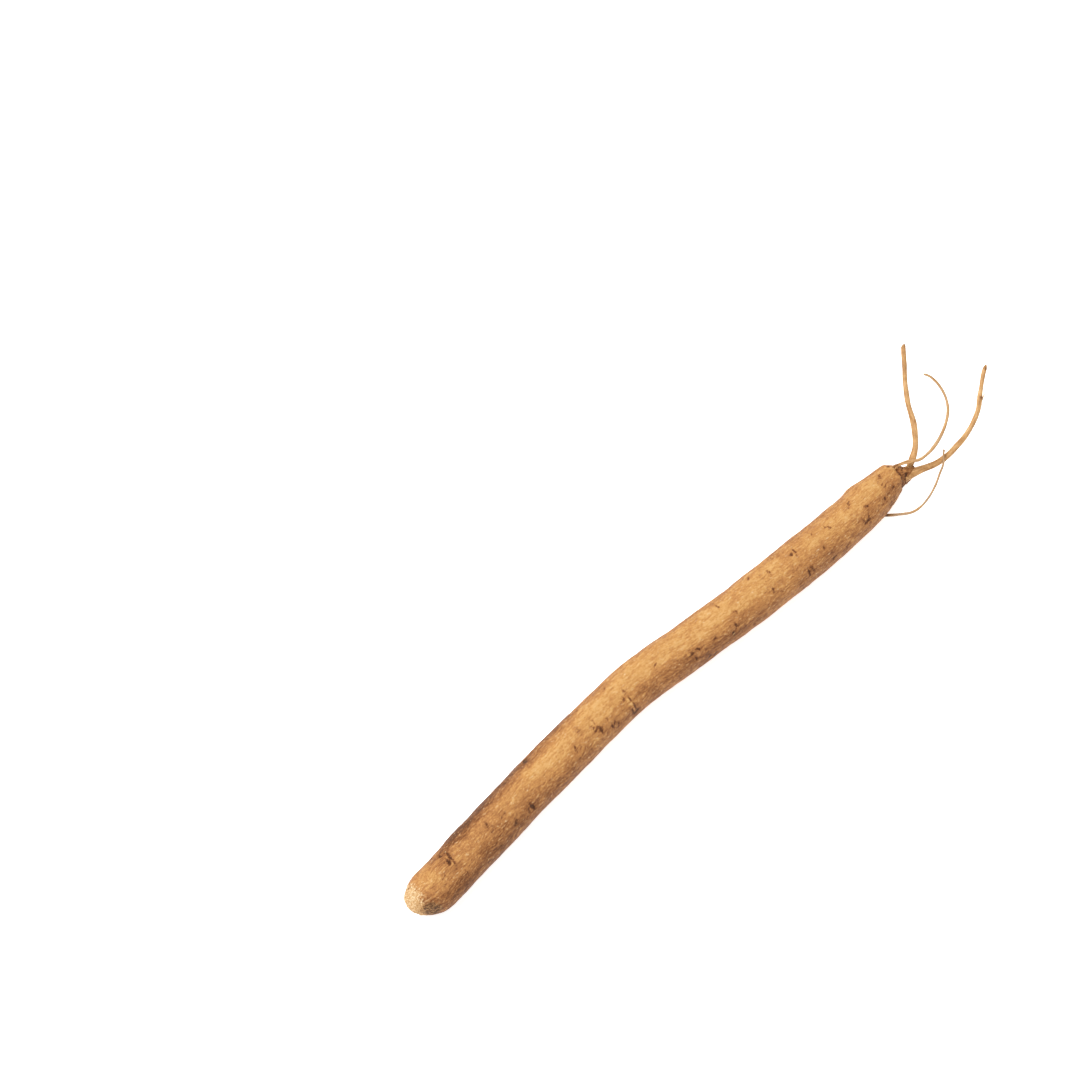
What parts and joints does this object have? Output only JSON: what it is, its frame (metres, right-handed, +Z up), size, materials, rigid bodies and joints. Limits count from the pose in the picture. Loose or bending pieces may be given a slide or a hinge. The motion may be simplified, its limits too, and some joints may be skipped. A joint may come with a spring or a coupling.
{
  "type": "dong quai root",
  "caption": "Whole dried dong quai root lying on its side: a slender tan corky tap root with a blunt tail and a short collar that holds four rootlets.",
  "frame": {"origin": "bottom centre of the bounding box, on the surface that the root lies on", "axes": "+X along the root from its blunt tail to the collar and rootlets, +Y to the left of that line, +Z up"},
  "size_m": [0.2632, 0.0394, 0.0236],
  "materials": {
    "root_cork": "dry matt cork, finely wrinkled along its length, with darker rootlet scars",
    "rootlet_bark": "smooth dry bark, a little waxy"
  },
  "bodies": {
    "root": {"main_root": "root_cork", "rootlet_upright": "rootlet_bark", "rootlet_sweeping": "rootlet_bark", "rootlet_curled": "rootlet_bark", "rootlet_hair": "rootlet_bark"}
  },
  "joints": []
}
